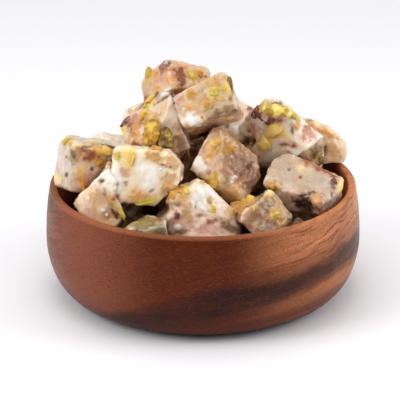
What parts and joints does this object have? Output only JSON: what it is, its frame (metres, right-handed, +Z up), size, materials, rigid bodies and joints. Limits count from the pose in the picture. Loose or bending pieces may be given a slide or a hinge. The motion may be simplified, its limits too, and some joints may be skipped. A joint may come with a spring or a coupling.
{
  "type": "bowl of turkish delight",
  "caption": "Turned wooden bowl heaped with knife-cut cubes of creamy white Turkish delight full of pistachio pieces, as one free-standing sweet dish.",
  "frame": {"origin": "middle of the bowl's foot, on the surface that it stands on", "axes": "+Z up along the bowl's turning axis, -Y towards the side shown in the picture, +X to the right in the picture"},
  "size_m": [0.127, 0.127, 0.0953],
  "materials": {
    "acacia": "satin oiled",
    "delight": "soft, slightly sticky sheen",
    "pistachio": "satin"
  },
  "bodies": {
    "root": {"bowl": "acacia", "cube_back_left": "delight", "cube_back_middle": "delight", "cube_back_top": "delight", "cube_behind_left": "delight", "cube_behind_right": "delight", "cube_crown_left": "delight", "cube_crown_right": "delight", "cube_far_right": "delight", "cube_floor_1": "delight", "cube_floor_2": "delight", "cube_floor_3": "delight", "cube_floor_4": "delight", "cube_floor_5": "delight", "cube_floor_6": "delight", "cube_floor_7": "delight", "cube_floor_middle": "delight", "cube_front_centre": "delight", "cube_front_left": "delight", "cube_front_right": "delight", "cube_inner_back": "delight", "cube_inner_left": "delight", "cube_inner_right": "delight", "cube_left": "delight", "cube_low_front": "delight", "cube_low_left": "delight", "cube_low_right": "delight", "cube_mid_right": "delight", "cube_middle": "delight", "cube_right": "delight", "cube_rim_back": "delight", "cube_rim_far_left": "delight", "cube_rim_left": "delight", "cube_rim_right": "delight", "cube_upper_left": "delight", "cube_upper_right": "delight", "pistachio_dark": "pistachio", "pistachio_olive": "pistachio", "pistachio_top": "pistachio"}
  },
  "joints": []
}
